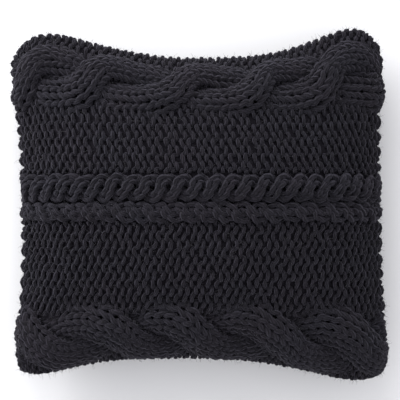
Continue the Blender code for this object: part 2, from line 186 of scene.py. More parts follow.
def new_piece(name, look, vertices, corners, totals, corner_uv=None, smooth=True):
    """A mesh object from whole arrays: vertices, the faces' corners one after another, and their counts."""
    mesh = bpy.data.meshes.new(name)
    mesh.vertices.add(len(vertices))
    mesh.vertices.foreach_set("co", np.ascontiguousarray(vertices, dtype=np.float32).ravel())
    mesh.loops.add(len(corners))
    mesh.loops.foreach_set("vertex_index", np.ascontiguousarray(corners, dtype=np.int32))
    starts = np.concatenate([[0], np.cumsum(totals)[:-1]])
    mesh.polygons.add(len(totals))
    mesh.polygons.foreach_set("loop_start", starts.astype(np.int32))
    mesh.polygons.foreach_set("loop_total", np.asarray(totals, dtype=np.int32))
    if corner_uv is not None:
        layer = mesh.uv_layers.new(name="Yarn")
        layer.data.foreach_set("uv", np.ascontiguousarray(corner_uv, dtype=np.float32).ravel())
    mesh.update(calc_edges=True)
    mesh.validate()
    mesh.materials.append(look)
    if smooth:
        mesh.shade_smooth()
    made = bpy.data.objects.new(name, mesh)
    bpy.context.scene.collection.objects.link(made)
    return made


def unit(vectors):
    """Vectors of length one."""
    return vectors / np.linalg.norm(vectors, axis=-1, keepdims=True)


def yarn_tubes(paths, ups, radius, sides):
    """Round tubes along many centre lines at once, as (vertices, corners, totals, uv).

    A tube's ring is centre + radius * (cos(a) * side + sin(a) * up) for the angle a once round, where
    side is square to the path and to the guide up. Both ends are closed. In the UV map, U goes once
    round and V counts circumferences along the yarn.
    """
    count, steps = paths.shape[:2]
    along = unit(np.gradient(paths, axis=1))
    side = unit(np.cross(along, ups))
    up = np.cross(side, along)
    radius = np.broadcast_to(np.asarray(radius, dtype=float), (count, steps))
    turn = TWO_PI * np.arange(sides) / sides
    ring = (np.cos(turn)[None, None, :, None] * side[:, :, None]
            + np.sin(turn)[None, None, :, None] * up[:, :, None])
    vertices = (paths[:, :, None] + radius[:, :, None, None] * ring).reshape(-1, 3)
    yarn, step, corner = np.meshgrid(np.arange(count), np.arange(steps - 1), np.arange(sides),
                                     indexing="ij")
    beside = (corner + 1) % sides
    low = (yarn * steps + step) * sides
    quads = np.stack([low + corner, low + beside, low + sides + beside, low + sides + corner], axis=-1)
    firsts = np.arange(count)[:, None] * steps * sides
    start_caps = firsts + np.arange(sides)[None, ::-1]
    end_caps = firsts + (steps - 1) * sides + np.arange(sides)[None]
    corners = np.concatenate([quads.ravel(), start_caps.ravel(), end_caps.ravel()])
    totals = np.concatenate([np.full(quads.size // 4, 4), np.full(2 * count, sides)])
    travel = np.zeros((count, steps))
    travel[:, 1:] = np.cumsum(np.linalg.norm(np.diff(paths, axis=1), axis=-1), axis=1)
    travel /= TWO_PI * radius.mean()
    round_low = corner / sides
    v_low = np.broadcast_to(travel[:, :-1, None], corner.shape)
    v_high = np.broadcast_to(travel[:, 1:, None], corner.shape)
    round_high = round_low + 1 / sides
    quad_uv = np.stack([np.stack([round_low, v_low], -1), np.stack([round_high, v_low], -1),
                        np.stack([round_high, v_high], -1), np.stack([round_low, v_high], -1)], axis=-2)
    uv = np.concatenate([quad_uv.reshape(-1, 2), np.zeros((2 * count * sides, 2))])
    return vertices, corners, totals, uv


def waves(seed, lengths, size):
    """A smooth random field: a sum of sine waves of the given lengths, in random directions."""
    draw = np.random.default_rng(seed)
    heading = draw.uniform(0, TWO_PI, len(lengths))
    phase = draw.uniform(0, TWO_PI, len(lengths))
    pull = TWO_PI / np.array(lengths)
    share = size / math.sqrt(len(lengths))

    def field(x, y):
        total = np.zeros_like(x)
        for k, a, p in zip(pull, heading, phase):
            total = total + np.sin(k * (np.cos(a) * x + np.sin(a) * y) + p)
        return share * total
    return field


# ---------------------------------------------------------------- the cushion's surface

def ear(share, form):
    """Extra half size along an edge: it rises with a power of the share, and the corner rounds it off."""
    rise, power, rounding = form
    corner_power = 10
    return rise * np.abs(share) ** power - rounding * share ** corner_power


def plan(sizes, u, v):
    """Outline position of (u, v), each from -1 to 1, about the middle of the form.

    x = u * (half width + side ear * u^2) + lean, and y = v * (half height + end ear * v^2), each corner
    with an ear of its own.
    """
    top = np.where(u < 0, ear(u, sizes.top_left), ear(u, sizes.top_right))
    bottom = np.where(u < 0, ear(u, sizes.bottom_left), ear(u, sizes.bottom_right))
    x = u * (sizes.half_width + ear(v, sizes.side_ear) * u ** 2)
    y = v * np.where(v > 0, sizes.top_half + top * v ** 2, sizes.bottom_half + bottom * v ** 2)
    still, slope, bend = sizes.lean
    return x + still + slope * v + bend * v ** 2, y


def profile(u, v):
    """Rise of the cushion: ((1 - u^2) * (1 - v^2)) to a power, 1 in the middle and 0 all round the seam."""
    plumpness = 0.6
    return ((1 - u ** 2) * (1 - v ** 2)).clip(0) ** plumpness


class Side:
    """The cover's front or back as a function of (u, v), each from -1 to 1, at a depth below its outside.

    The form is a flat outline, lifted by the profile and pushed out by the filling; its own coordinates
    (s, t) are distances along the surface from its middle, along X and along Y.
    """

    def __init__(self, sizes, front, depth, inset=None):
        self.sizes = sizes
        self.front = front
        self.depth = depth
        self.inset = depth if inset is None else inset
        self.sign = 1.0 if front else -1.0
        self.shares = np.sin(np.pi / 2 * np.linspace(-1, 1, 801))
        zero = np.zeros_like(self.shares)
        self.middle = self.point(zero, self.shares)
        self.along_x = self.distances(self.point(self.shares, zero))
        self.along_y = self.distances(self.middle)

    def distances(self, points):
        """Distance along a line of points, from its middle one."""
        total = np.concatenate([[0], np.cumsum(np.linalg.norm(np.diff(points, axis=0), axis=1))])
        return total - total[len(total) // 2]

    def point(self, u, v):
        """Position of (u, v)."""
        sizes = self.sizes
        x, y = plan(sizes, u, v)
        x = x * (1 - self.inset / sizes.half_width)
        y = y * (1 - self.inset / sizes.top_half) - sizes.centre_rise
        if self.front:
            z = sizes.seam_level + (sizes.crown - self.depth) * profile(u, v)
        else:
            share = np.minimum(1, sizes.back_fullness * profile(u, v))
            z = sizes.seam_level - (sizes.seam_level - self.depth) * share
        place = np.stack([x, y, z], axis=-1)
        if self.front and "front" in SWELL:
            place = place + swelling(SWELL["front"], u, v)
        return place

    def normal(self, u, v):
        """Outward normal at (u, v), from differences of the surface."""
        step = 1e-3
        u = np.clip(u, -1 + 2 * step, 1 - 2 * step)
        v = np.clip(v, -1 + 2 * step, 1 - 2 * step)
        across = self.point(u + step, v) - self.point(u - step, v)
        along = self.point(u, v + step) - self.point(u, v - step)
        return unit(np.cross(across, along)) * self.sign

    def reach(self):
        """Distance from the middle to the right edge, and to the top edge."""
        return self.along_x[-1], self.along_y[-1]

    def t_over(self, y):
        """Fabric distance along Y of the place y on the middle line."""
        return float(np.interp(y, self.middle[:, 1], self.along_y))

    def lay(self, s, t, height):
        """(positions, normals) of fabric points (s, t), height above the surface.

        Points that would pass the rim are eased in, so that they draw up to it and never cross it.
        """
        half_x, half_y = self.reach()
        u = np.interp(eased(s, half_x), self.along_x, self.shares)
        v = np.interp(eased(t, half_y), self.along_y, self.shares)
        up = self.normal(u, v)
        return self.point(u, v) + up * height[..., None], up


def eased(value, limit, room=0.007):
    """The value, except within room of either limit, where it nears the limit exponentially."""
    past = (np.abs(value) - (limit - room)).clip(0)
    inside = np.minimum(np.abs(value), limit - room)
    return np.sign(value) * (inside + room * (1 - np.exp(-past / room)))


def swelling(push, u, v):
    """Push of the filling at (u, v): bilinear between the knots of a grid even in the angles of u and v."""
    rows, columns = push.shape[:2]
    row = (np.arcsin(np.clip(u, -1, 1)) / np.pi + 0.5) * (rows - 1)
    column = (np.arcsin(np.clip(v, -1, 1)) / np.pi + 0.5) * (columns - 1)
    low_row = np.clip(np.floor(row).astype(int), 0, rows - 2)
    low_column = np.clip(np.floor(column).astype(int), 0, columns - 2)
    a = (row - low_row)[..., None]
    b = (column - low_column)[..., None]
    return ((1 - a) * (1 - b) * push[low_row, low_column] + a * (1 - b) * push[low_row + 1, low_column]
            + (1 - a) * b * push[low_row, low_column + 1] + a * b * push[low_row + 1, low_column + 1])


def angle_grid(rows, columns, v_low=-1.0, v_high=1.0):
    """A grid of (u, v), closer towards the rim, as even steps of angle are."""
    u = np.sin(np.pi / 2 * np.linspace(-1, 1, rows))
    low, high = np.arcsin(v_low), np.arcsin(v_high)
    v = np.sin(np.linspace(low, high, columns))
    return np.meshgrid(u, v, indexing="ij")


def grid_faces(rows, columns, turned=False):
    """Corner numbers of the squares of a grid."""
    low = (np.arange(rows - 1)[:, None] * columns + np.arange(columns - 1)[None]).ravel()
    faces = np.stack([low, low + columns, low + columns + 1, low + 1], axis=-1)
    return faces[:, ::-1] if turned else faces


def rim_walk(rows, columns):
    """Numbers of a grid's rim, once round."""
    bottom = np.arange(rows) * columns
    right = (rows - 1) * columns + np.arange(1, columns)
    top = np.arange(rows - 2, -1, -1) * columns + columns - 1
    left = np.arange(columns - 2, 0, -1)
    return np.concatenate([bottom, right, top, left])


def closed_pillow(front, back, rows, columns):
    """(vertices, faces) of a closed cushion: a front and a back grid that share their rim."""
    u, v = angle_grid(rows, columns)
    top = front.point(u, v).reshape(-1, 3)
    bottom = back.point(u, v).reshape(-1, 3)
    number = np.arange(rows * columns)
    rim = rim_walk(rows, columns)
    inner = np.setdiff1d(number, rim)
    mapped = number.copy()
    mapped[inner] = rows * columns + np.arange(len(inner))
    faces = np.concatenate([grid_faces(rows, columns), mapped[grid_faces(rows, columns, True)]])
    return np.concatenate([top, bottom[inner]]), faces


def cloth_panel(side, thickness, v_low, v_high, rows, columns):
    """(vertices, faces) of a closed panel of cloth: two grids a thickness apart, joined all round."""
    u, v = angle_grid(rows, columns, v_low, v_high)
    place, up = side.point(u, v), side.normal(u, v)
    outer = (place + up * thickness / 2).reshape(-1, 3)
    inner = (place - up * thickness / 2).reshape(-1, 3)
    count = rows * columns
    walk = rim_walk(rows, columns)
    after = np.roll(walk, -1)
    wall = np.stack([walk, walk + count, after + count, after], axis=-1)
    turned = not side.front
    faces = [grid_faces(rows, columns, turned), grid_faces(rows, columns, not turned) + count,
             wall[:, ::-1] if turned else wall]
    return np.concatenate([outer, inner]), np.concatenate(faces)


# ---------------------------------------------------------------- materials

def material(name, **values):
    """(material, nodes, links, its Principled shader), with constants set on the shader's own sockets."""
    made = bpy.data.materials.new(name)
    made.use_nodes = True
    tree = made.node_tree
    shader = tree.nodes["Principled BSDF"]
    for socket, value in values.items():
        shader.inputs[socket.replace("_", " ")].default_value = value
    return made, tree.nodes, tree.links, shader


def new_group(name, inputs, outputs):
    """A shader node group with named sockets: (tree, nodes, links, its input node, its output node)."""
    tree = bpy.data.node_groups.new(name, "ShaderNodeTree")
    for label, kind, value in inputs:
        socket = tree.interface.new_socket(name=label, in_out="INPUT", socket_type="NodeSocket" + kind)
        if value is not None:
            socket.default_value = value
    for label, kind in outputs:
        tree.interface.new_socket(name=label, in_out="OUTPUT", socket_type="NodeSocket" + kind)
    given, out = tree.nodes.new("NodeGroupInput"), tree.nodes.new("NodeGroupOutput")
    return tree, tree.nodes, tree.links, given, out


def maths(nodes, links, operation, *values):
    """A Math node's output, each value a number or a socket."""
    node = nodes.new("ShaderNodeMath")
    node.operation = operation
    for slot, value in zip(node.inputs, values):
        if isinstance(value, (int, float)):
            slot.default_value = value
        else:
            links.new(value, slot)
    return node.outputs[0]


def noise(nodes, links, vector, scale, detail, roughness=0.5):
    """A Noise texture's value."""
    node = nodes.new("ShaderNodeTexNoise")
    node.inputs["Scale"].default_value = scale
    node.inputs["Detail"].default_value = detail
    node.inputs["Roughness"].default_value = roughness
    links.new(vector, node.inputs["Vector"])
    return node.outputs["Fac"]


def spread(nodes, links, value, low, high, to_low=0.0, to_high=1.0):
    """A Map Range node's output."""
    node = nodes.new("ShaderNodeMapRange")
    for label, number in (("From Min", low), ("From Max", high), ("To Min", to_low), ("To Max", to_high)):
        node.inputs[label].default_value = number
    links.new(value, node.inputs["Value"])
    return node.outputs["Result"]


def blended(nodes, links, share, first, second):
    """A colour mixed from two, each a colour or a socket."""
    node = nodes.new("ShaderNodeMix")
    node.data_type = "RGBA"
    for slot, value in ((node.inputs["A"], first), (node.inputs["B"], second)):
        if isinstance(value, tuple):
            slot.default_value = value
        else:
            links.new(value, slot)
    links.new(share, node.inputs["Factor"])
    return node.outputs["Result"]


def plied_group():
    """Plies: ridges that wind round the yarn, as its UV map runs, with fine fibres along them.

    The ridge is the sine of (plies times the share of the way round, plus the length in circumferences
    times the twist); Height is the ridge plus fibres, and Shade is painted shade, darker in the grooves
    between the plies, times a random tone of the fibres.
    """
    tree, nodes, links, given, out = new_group(
        "Plied fibres",
        [("Yarn Map", "Vector", None), ("Place", "Vector", None), ("Plies", "Float", 3.0),
         ("Twist", "Float", 1.2), ("Fibres", "Float", 0.6)],
        [("Height", "Float"), ("Shade", "Float"), ("Fleck", "Float")])
    split = nodes.new("ShaderNodeSeparateXYZ")
    links.new(given.outputs["Yarn Map"], split.inputs[0])
    around = maths(nodes, links, "MULTIPLY", split.outputs["X"], given.outputs["Plies"])
    winding = maths(nodes, links, "MULTIPLY", split.outputs["Y"], given.outputs["Twist"])
    angle = maths(nodes, links, "MULTIPLY", maths(nodes, links, "ADD", around, winding), TWO_PI)
    ply = maths(nodes, links, "MULTIPLY_ADD", maths(nodes, links, "SINE", angle), 0.5, 0.5)
    fibre = noise(nodes, links, given.outputs["Place"], 1400, 2, 0.7)
    fuzz = noise(nodes, links, given.outputs["Place"], 520, 3, 0.65)
    both = maths(nodes, links, "ADD", fibre, fuzz)
    fibres = maths(nodes, links, "MULTIPLY", both, given.outputs["Fibres"])
    links.new(maths(nodes, links, "ADD", ply, fibres), out.inputs["Height"])
    strands = spread(nodes, links, fibre, 0.35, 0.65, 0.72, 1.12)
    # painted shade: the colour darkens in the grooves between the plies
    painted_groove_shade = spread(nodes, links, ply, 0.0, 0.55, 0.30, 1.0)
    links.new(maths(nodes, links, "MULTIPLY", painted_groove_shade, strands), out.inputs["Shade"])
    fleck = noise(nodes, links, given.outputs["Place"], 420, 5, 0.75)
    links.new(spread(nodes, links, fleck, 0.40, 0.68), out.inputs["Fleck"])
    return tree


def woven_group():
    """Plain weave: two crossed sets of ridges on the piece's own X and Y, that pass over in turn; Shade is
    painted shade, darker where the ridges sink between the threads.
    """
    tree, nodes, links, given, out = new_group(
        "Plain weave", [("Place", "Vector", None), ("Threads per Metre", "Float", 1400.0)],
        [("Height", "Float"), ("Shade", "Float")])
    split = nodes.new("ShaderNodeSeparateXYZ")
    links.new(given.outputs["Place"], split.inputs[0])
    ridges = []
    for axis in ("X", "Y"):
        turn = maths(nodes, links, "MULTIPLY", split.outputs[axis], given.outputs["Threads per Metre"])
        ridges.append(maths(nodes, links, "SINE", maths(nodes, links, "MULTIPLY", turn, math.pi)))
    weave = maths(nodes, links, "ABSOLUTE", maths(nodes, links, "MULTIPLY", *ridges))
    slub = noise(nodes, links, given.outputs["Place"], 300, 4)
    links.new(maths(nodes, links, "MULTIPLY_ADD", slub, 0.4, weave), out.inputs["Height"])
    # painted shade: darker where the weave sinks between the threads
    links.new(spread(nodes, links, weave, 0.0, 0.7, 0.6, 1.0), out.inputs["Shade"])
    return tree


def group_node(nodes, tree, **values):
    """A node group placed in a material, with numbers for its inputs."""
    node = nodes.new("ShaderNodeGroup")
    node.node_tree = tree
    for label, value in values.items():
        node.inputs[label.replace("_", " ")].default_value = value
    return node


def bump_into(nodes, links, shader, height, distance, strength):
    """A Bump node between the height and the shader's normal."""
    node = nodes.new("ShaderNodeBump")
    node.inputs["Distance"].default_value = distance
    node.inputs["Strength"].default_value = strength
    links.new(height, node.inputs["Height"])
    links.new(node.outputs["Normal"], shader.inputs["Normal"])


def shared_group(name, build):
    """The node group of that name, built on first use."""
    return bpy.data.node_groups.get(name) or build()


def yarn_look(colours):
    """Plied charcoal wool blend, flecked with lighter fibres, softly fuzzy, with painted shade darkening
    the colour between the plies.
    """
    if "Charcoal yarn" in bpy.data.materials:
        return bpy.data.materials["Charcoal yarn"]
    made, nodes, links, shader = material(
        "Charcoal yarn", Roughness=0.85, Specular_IOR_Level=0.18, Sheen_Weight=0.14, Sheen_Roughness=0.55,
        Sheen_Tint=(0.50, 0.47, 0.62, 1))
    own = nodes.new("ShaderNodeUVMap")
    own.uv_map = "Yarn"
    where = nodes.new("ShaderNodeTexCoord")
    plied = group_node(nodes, shared_group("Plied fibres", plied_group), Plies=4.0, Twist=1.5, Fibres=0.8)
    links.new(own.outputs["UV"], plied.inputs["Yarn Map"])
    links.new(where.outputs["Object"], plied.inputs["Place"])
    place = where.outputs["Object"]
    patch = spread(nodes, links, noise(nodes, links, place, 26, 3, 0.6), 0.3, 0.7, 0.72, 1.18)
    drift = spread(nodes, links, noise(nodes, links, place, 17, 2, 0.6), 0.35, 0.65)
    cool = tuple(part * tint for part, tint in zip(colours.yarn_light, (0.88, 1.0, 1.10)))
    warm = tuple(part * tint for part, tint in zip(colours.yarn_light, (1.12, 0.95, 1.05)))
    pale = blended(nodes, links, drift, (*cool, 1), (*warm, 1))
    base = blended(nodes, links, plied.outputs["Fleck"], (*colours.yarn, 1), pale)
    # painted shade between the plies from the ply Shade, times a random patchy tone
    shade = maths(nodes, links, "MULTIPLY", plied.outputs["Shade"], patch)
    dim = nodes.new("ShaderNodeVectorMath")
    dim.operation = "SCALE"
    links.new(base, dim.inputs[0])
    links.new(shade, dim.inputs["Scale"])
    links.new(dim.outputs[0], shader.inputs["Base Color"])
    bump_into(nodes, links, shader, plied.outputs["Height"], 0.0013, 1.0)
    return made


def backing_look(colours):
    """Felted inner face of the knitting, which closes the gaps between the stitches."""
    made, nodes, links, shader = material("Knit backing", Roughness=0.95, Specular_IOR_Level=0.1)
    where = nodes.new("ShaderNodeTexCoord")
    felt = noise(nodes, links, where.outputs["Object"], 700, 5, 0.7)
    links.new(blended(nodes, links, felt, (*colours.yarn, 1), (*colours.yarn_light, 1)),
              shader.inputs["Base Color"])
    bump_into(nodes, links, shader, felt, 0.0008, 0.8)
    return made


def fibre_look(colours):
    """Loose wool fibres: paler than the yarn, with no twist of their own."""
    made, nodes, links, shader = material("Loose fibres", Roughness=0.7, Specular_IOR_Level=0.3,
                                          Sheen_Weight=0.2)
    where = nodes.new("ShaderNodeTexCoord")
    shade = noise(nodes, links, where.outputs["Object"], 150, 3)
    links.new(blended(nodes, links, shade, (*colours.yarn_light, 1), (*colours.fibre, 1)),
              shader.inputs["Base Color"])
    return made


def cloth_look(name, tone, threads, roughness):
    """A plain woven cloth, with painted shade darkening it between the threads."""
    if name in bpy.data.materials:
        return bpy.data.materials[name]
    made, nodes, links, shader = material(name, Roughness=roughness, Specular_IOR_Level=0.3,
                                          Sheen_Weight=0.1)
    where = nodes.new("ShaderNodeTexCoord")
    weave = group_node(nodes, shared_group("Plain weave", woven_group), Threads_per_Metre=threads)
    links.new(where.outputs["Object"], weave.inputs["Place"])
    # the darker tone is painted shade between the threads
    dark = tuple(0.6 * part for part in tone)
    links.new(blended(nodes, links, weave.outputs["Shade"], (*dark, 1), (*tone, 1)),
              shader.inputs["Base Color"])
    bump_into(nodes, links, shader, weave.outputs["Height"], 0.0002, 0.6)
    return made


def thread_look(name, tone):
    """Polyester thread: fine strands and a slight gloss."""
    made, nodes, links, shader = material(name, Roughness=0.55)
    where = nodes.new("ShaderNodeTexCoord")
    strands = noise(nodes, links, where.outputs["Object"], 2500, 2)
    dark = tuple(0.5 * part for part in tone)
    links.new(blended(nodes, links, strands, (*dark, 1), (*tone, 1)), shader.inputs["Base Color"])
    bump_into(nodes, links, shader, strands, 0.0001, 0.6)
    return made


def metal_look(name, tone):
    """Painted zinc die casting, worn brighter where it rubs, with fine scratches."""
    made, nodes, links, shader = material(name, Metallic=1.0, Roughness=0.38)
    where = nodes.new("ShaderNodeTexCoord")
    worn = spread(nodes, links, noise(nodes, links, where.outputs["Object"], 420, 6, 0.7), 0.45, 0.7)
    bright = tuple(min(1.0, 2.4 * part) for part in tone)
    links.new(blended(nodes, links, worn, (*tone, 1), (*bright, 1)), shader.inputs["Base Color"])
    links.new(spread(nodes, links, worn, 0, 1, 0.46, 0.26), shader.inputs["Roughness"])
    bump_into(nodes, links, shader, noise(nodes, links, where.outputs["Object"], 1800, 3), 0.00006, 0.5)
    return made


def nylon_look(name, tone):
    """Smooth nylon monofilament."""
    made, nodes, links, shader = material(name, Roughness=0.34, Coat_Weight=0.2)
    where = nodes.new("ShaderNodeTexCoord")
    cloud = noise(nodes, links, where.outputs["Object"], 900, 3)
    dark = tuple(0.6 * part for part in tone)
    links.new(blended(nodes, links, cloud, (*dark, 1), (*tone, 1)), shader.inputs["Base Color"])
    return made


# ---------------------------------------------------------------- knitting

def stitch_phase(wales, samples):
    """Phase of a course's yarn, from the foot of its first stitch to the foot after its last."""
    return np.linspace(-math.pi, TWO_PI * wales - math.pi, wales * samples + 1)


def uneven(seed, size):
    """The knitter's uneven tension: two smooth fields of the given size, for s and for t."""
    lengths = (0.011, 0.016, 0.023, 0.037, 0.061)
    return waves(seed, lengths, size), waves(seed + 1, lengths, size)


def purl_band(side, low, high, knit, seed, radius, rise, base=0.0, lean=0.0, samples=None):
    """Paths, guides and radii of a plain band, purl side out, between two fabric distances along Y.

    Each course runs along Y. With the phase a, its yarn is at t = even steps + swell * sin(2a), s = the
    course's place + reach * (cos(a) - cos(3a) / 10) + lean * sin(2a), and height = base + rise * cos(2a),
    so that heads and feet stand forward and the legs lie behind; the yarn is fuller in heads and feet
    than in the legs.
    """
    reach, squareness, swell = 0.83, 0.10, 0.15
    mean_thick, fuller = 0.92, 0.10
    unevenness = 0.0010
    samples = samples or knit.samples
    wales = max(1, int(round((high - low) / knit.wale)))
    wale = (high - low) / wales
    phase = stitch_phase(wales, samples)
    half = side.reach()[0] - SIDE_GAP
    count = int(round(2 * half / knit.course))
    places = (np.arange(count) + 0.5) / count * 2 * half - half
    s = places[:, None] + (reach * knit.course * (np.cos(phase) - squareness * np.cos(3 * phase))
                           + lean * np.sin(2 * phase))[None]
    t = low + (phase + math.pi)[None] / TWO_PI * wale + swell * wale * np.sin(2 * phase)[None] + 0 * s
    height = base + rise * np.cos(2 * phase)[None] + 0 * s
    uneven_s, uneven_t = uneven(seed, unevenness)
    thick = radius * (mean_thick + fuller * np.cos(2 * phase))[None] * tension(seed + 2, s, t)
    return (*side.lay(s + uneven_s(s, t), t + uneven_t(s, t), height), thick)


def tension(seed, s, t):
    """How thick the yarn is from place to place, about 1."""
    lengths = (0.009, 0.014, 0.031)
    return 1 + waves(seed, lengths, 0.11)(s, t)


def rope_phase(line, crossings):
    """Phase along a rope: half pi at its first crossing and pi more at each later one, smoothed."""
    beyond = 8
    first, last = crossings[1] - crossings[0], crossings[-1] - crossings[-2]
    places = np.concatenate([crossings[0] - first * np.arange(beyond, 0, -1), crossings,
                             crossings[-1] + last * np.arange(1, beyond + 1)])
    turns = (np.arange(len(places)) - beyond + 0.5) * math.pi
    step = line[1] - line[0]
    reach = max(2, int(0.25 * (crossings[-1] - crossings[0]) / (len(crossings) - 1) / step))
    longer = np.arange(-reach, len(line) + reach) * step + line[0]
    weight = np.hanning(2 * reach + 3)[1:-1]
    return np.convolve(np.interp(longer, places, turns), weight / weight.sum(), mode="valid")


def cable_band(side, middle, crossings, seed, wale, swing, lift, slant=1.0, wales=3, base=0.0066,
               edge=0.0125, steep=2.0, sink=0.5, pinch=0.10, fan=0.12, course=0.0086, radius=0.0029,
               ends=0.006, reach=0.85, splay=0.21):
    """Paths, guides and radii of a two-strand rope cable whose middle is at the fabric distance given.

    A strand's middle line swings with -slant * swing * tanh(steep * cos(a)), stands up by lift * sin(a)
    where it passes over, dips by sink * lift * sin(a)^2 where it passes under, drops by edge times a
    power of the share of its half width, and is narrowed by pinch where it passes over and by fan
    towards the rim. It is a band of knit whose courses lie across it; with the phase b, a course's yarn
    goes across in even steps + splay * sin(2b), along by reach * cos(b), and down by cos(2b), so that
    the legs stand forward. slant is 1 where the strand on top rises to the right, and -1 where it falls.
    """
    samples = 16
    unevenness = 0.0009
    end_room = 0.003
    edge_power = 2.3
    legs_forward = 0.7
    mean_thick, fuller = 0.88, 0.20
    lowest, softness = -0.0015, 0.001
    half = side.reach()[0] - ends
    line = np.linspace(-half, half, 2401)
    turn = rope_phase(line, crossings)
    phase = stitch_phase(wales, samples)
    uneven_s, uneven_t = uneven(seed, unevenness)
    paths, guides, radii = [], [], []
    for strand in range(2):
        angle = turn + strand * math.pi
        sideways = -slant * swing * np.tanh(steep * np.cos(angle)) / math.tanh(steep)
        sine = np.sin(angle)
        rise = lift * np.where(sine > 0, sine, -sink * np.abs(sine) ** 2)
        width = 1 - pinch * np.sin(angle).clip(0) ** 1.5 - fan * slant * sideways / swing
        slope = np.gradient(sideways, line)
        length = np.concatenate([[0], np.cumsum(np.hypot(np.diff(line), np.diff(sideways)))])
        count = int(round(length[-1] / course))
        places = (np.arange(count) + 0.5) / count * length[-1]
        travel = places[:, None] + reach * course * np.cos(phase)[None]
        travel = eased(travel - length[-1] / 2, length[-1] / 2, end_room) + length[-1] / 2
        even = ((phase + math.pi) / (TWO_PI * wales) - 0.5) * wales * wale
        across = even + splay * wale * np.sin(2 * phase)
        across = across[None] * np.interp(travel, length, width)
        norm = np.hypot(1, np.interp(travel, length, slope))
        tilt = np.interp(travel, length, slope) / norm
        s = np.interp(travel, length, line) - across * tilt
        t = middle + np.interp(travel, length, sideways) + across / norm
        share = np.abs(across) / (wales * wale / 2)
        crown = base + np.interp(travel, length, rise) - edge * share ** edge_power
        height = crown * rim_share(side, s, t) - legs_forward * radius * np.cos(2 * phase)[None]
        height = lowest + softness * np.logaddexp(0, (height - lowest) / softness)
        place, guide = side.lay(s + uneven_s(s, t), t + uneven_t(t, s), height)
        thick = radius * (mean_thick - fuller * np.cos(2 * phase))[None]
        paths.append(place)
        guides.append(guide)
        radii.append(thick * tension(seed + 4 + strand, s, t))
    return np.concatenate(paths), np.concatenate(guides), np.concatenate(radii)


def rim_share(side, s, t, width=0.024, least=0.25):
    """Share of its height that a raised band keeps: it sinks evenly over the last width before the rim."""
    half_x, half_y = side.reach()
    room = np.minimum(half_x - np.abs(s), half_y - np.abs(t)) / width
    roundness = 0.8
    return least + (1 - least) * np.clip(room, 0, 1) ** roundness


def along_outline(side, count, outset):
    """(points, outward directions) evenly spaced once round the rim, outset beyond it."""
    walk = np.linspace(-1, 1, 401)
    edge = np.ones_like(walk)
    u = np.concatenate([walk, edge[1:], walk[::-1][1:], -edge[1:-1]])
    v = np.concatenate([-edge, walk[1:], edge[1:], walk[::-1][1:-1]])
    rim = side.point(u, v)
    rim = np.concatenate([rim, rim[:1]])
    travel = np.concatenate([[0], np.cumsum(np.linalg.norm(np.diff(rim, axis=0), axis=1))])
    even = np.linspace(0, travel[-1], count)
    points = np.stack([np.interp(even, travel, rim[:, axis]) for axis in range(3)], axis=-1)
    ahead = unit(np.roll(points[:-1], -6, axis=0) - np.roll(points[:-1], 6, axis=0))
    out = np.stack([ahead[:, 1], -ahead[:, 0], 0 * ahead[:, 0]], axis=-1)
    out = np.concatenate([out, out[:1]])
    return points + outset * out, out


# ---------------------------------------------------------------- operators

def lamp(name, place, aim, size, power):
    """A square soft light that looks at a point."""
    data = bpy.data.lights.new(name, "AREA")
    data.size = size
    data.energy = power
    made = bpy.data.objects.new(name, data)
    made.location = place
    made.rotation_euler = (Vector(aim) - Vector(place)).to_track_quat("-Z", "Y").to_euler()
    bpy.context.scene.collection.objects.link(made)


class PILLOW_OT_stage(Operator):
    """Put down the floor, the lights and the camera."""
    bl_idname = "pillow.stage"
    bl_label = "Stage"

    def execute(self, context):
        sizes = context.scene.pillow_stage
        colours = context.scene.pillow_colours
        made = material("Studio floor", Base_Color=(*colours.floor, 1), Roughness=0.9)[0]
        corners = 4.0 * np.array([(-1, -1, 0), (1, -1, 0), (1, 1, 0), (-1, 1, 0)])
        floor = new_piece("floor", made, corners, np.arange(4), np.array([4]), smooth=False)
        camera = bpy.data.objects.new("camera", bpy.data.cameras.new("camera"))
        camera.data.lens = sizes.lens
        camera.location = (0.0, 0.0045, sizes.height)
        context.scene.collection.objects.link(camera)
        context.scene.camera = camera
        middle = (0.0, 0.0, 0.05)
        lamp("window", (-1.15, 0.78, 0.66), middle, size=0.7, power=17)
        lamp("top", (-0.4, 1.9, 1.6), middle, size=1.5, power=21)
        world = bpy.data.worlds.new("studio")
        world.use_nodes = True
        world.node_tree.nodes["Background"].inputs["Color"].default_value = (0.97, 0.97, 1.0, 1)
        world.node_tree.nodes["Background"].inputs["Strength"].default_value = 1.04
        context.scene.world = world
        context.scene.view_settings.view_transform = "Standard"
        return {"FINISHED"}


def filled(cushion, start, faces, look):
    """The insert as a cloth skin blown up by its filling: (object, how far each of its points moved)."""
    piece = new_piece("insert_cushion", look, start, faces.ravel(), np.full(len(faces), 4))
    cloth = piece.modifiers.new("Filling", "CLOTH")
    cloth.settings.quality = 6
    cloth.settings.mass = 0.3
    cloth.settings.tension_stiffness = 12
    cloth.settings.compression_stiffness = 12
    cloth.settings.shear_stiffness = 4
    cloth.settings.bending_stiffness = 0.4
    cloth.settings.shrink_min = -0.04
    cloth.settings.use_pressure = True
    cloth.settings.uniform_pressure_force = 4
    cloth.settings.effector_weights.gravity = 0
    scene = bpy.context.scene
    last_frame = 20
    for number in range(1, last_frame + 1):
        scene.frame_set(number)
    shown = piece.evaluated_get(bpy.context.evaluated_depsgraph_get())
    moved = np.empty(len(start) * 3, dtype=np.float32)
    shown.to_mesh().vertices.foreach_get("co", moved)
    shown.to_mesh_clear()
    piece.modifiers.remove(cloth)
    scene.frame_set(1)
    return piece, moved.reshape(-1, 3) - start


